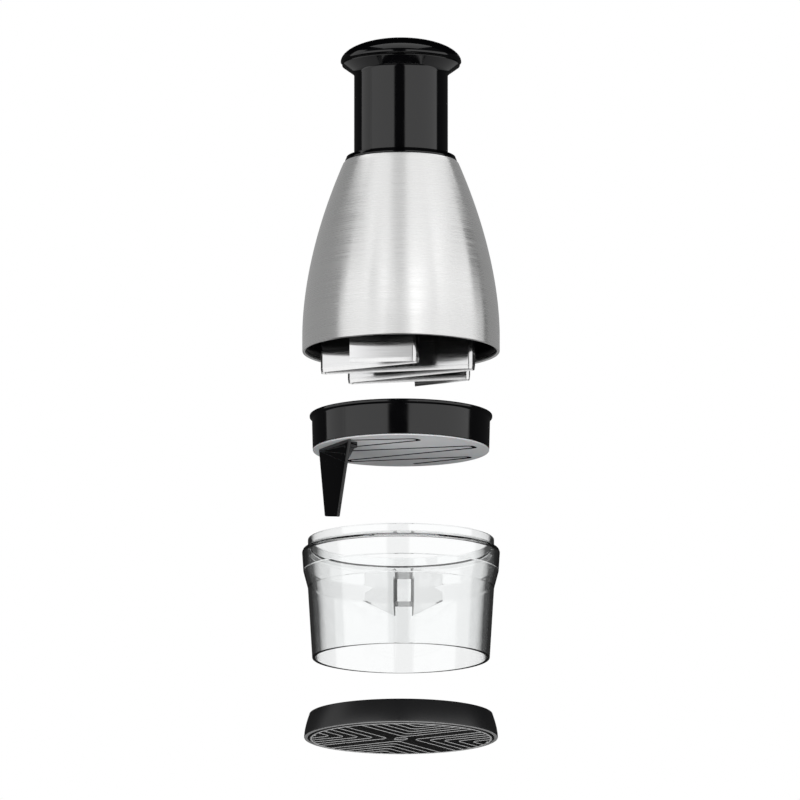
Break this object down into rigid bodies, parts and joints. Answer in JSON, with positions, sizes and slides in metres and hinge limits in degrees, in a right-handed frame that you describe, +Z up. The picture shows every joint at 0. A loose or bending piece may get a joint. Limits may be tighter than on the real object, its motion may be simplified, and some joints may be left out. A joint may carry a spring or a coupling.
{
  "type": "vegetable dicer",
  "caption": "Hand-press vegetable dicer shown taken apart on its axis: sprung plunger and folded blade in a steel bell, wiper ring, clear chopping cup and base cap.",
  "frame": {"origin": "centre of the base pad's underside, on the surface that the base stands on", "axes": "+Z up along the plunger's axis, from the base cap to the knob; the sweep arm is at the front left, towards -X and -Y; the cup's guide fins are at the back, towards +Y"},
  "size_m": [0.0988, 0.0988, 0.3554],
  "materials": {
    "black_gloss_abs": "moulded ABS, high gloss",
    "black_satin_pp": "moulded polypropylene, satin",
    "grey_pom": "moulded acetal, light grey, satin",
    "clear_san": "clear moulded SAN, polished",
    "pad_rubber": "moulded soft pad with raised ribs",
    "brushed_steel": "spun stainless steel, brushed round the axis",
    "blade_steel": "stainless strip, folded and ground bright",
    "bright_steel": "turned or plated steel"
  },
  "bodies": {
    "base": {"base_cap": "black_satin_pp", "grip_pad": "pad_rubber"},
    "cup": {"chopping_cup": "clear_san"},
    "ring": {"wiper_ring": "black_gloss_abs"},
    "disc": {"wiper_disc": "grey_pom", "sweep_arm": "black_gloss_abs", "arm_screw_1": "bright_steel", "arm_screw_2": "bright_steel"},
    "housing": {"bell_shell": "brushed_steel", "bell_liner": "black_satin_pp", "collar_ring": "black_gloss_abs", "index_hub": "grey_pom", "hub_screw_1": "bright_steel", "hub_screw_2": "bright_steel", "spring_seat_lower": "bright_steel", "return_spring": "bright_steel"},
    "plunger": {"plunger_sleeve": "black_gloss_abs", "knob_cap": "black_gloss_abs", "cap_screw_1": "bright_steel", "cap_screw_2": "bright_steel", "cap_screw_3": "bright_steel", "spindle_bearing": "grey_pom", "spring_seat_upper": "bright_steel"},
    "cutter": {"spindle": "bright_steel", "spindle_clip": "bright_steel", "blade_carrier": "black_satin_pp", "chopping_blade": "blade_steel", "carrier_screw": "bright_steel"}
  },
  "joints": [
    {"name": "cup_seat", "type": "slide", "parent": "base", "child": "cup", "axis": [0, 0, 1], "range_m": [-0.038, 0]},
    {"name": "ring_seat", "type": "slide", "parent": "cup", "child": "ring", "axis": [0, 0, 1], "range_m": [-0.0609, 0]},
    {"name": "disc_turn", "type": "hinge", "parent": "ring", "child": "disc", "pos_m": [0, 0, 0.1472], "axis": [0, 0, 1], "range_deg": [0, 45]},
    {"name": "housing_seat", "type": "slide", "parent": "ring", "child": "housing", "axis": [0, 0, 1], "range_m": [-0.0391, 0]},
    {"name": "plunger_press", "type": "slide", "parent": "housing", "child": "plunger", "axis": [0, 0, 1], "range_m": [-0.043, 0], "stiffness_N_per_m": 300, "springref_m": 0.02, "deforming": ["return_spring"]},
    {"name": "cutter_turn", "type": "hinge", "parent": "plunger", "child": "cutter", "pos_m": [0, 0, 0.2453], "axis": [0, 0, 1], "range_deg": [0, 45]}
  ],
  "couplings": [
    {"joint": "cutter_turn", "follows": "plunger_press", "rad_per_m": -18.264},
    {"joint": "disc_turn", "follows": "plunger_press", "rad_per_m": -18.264}
  ]
}
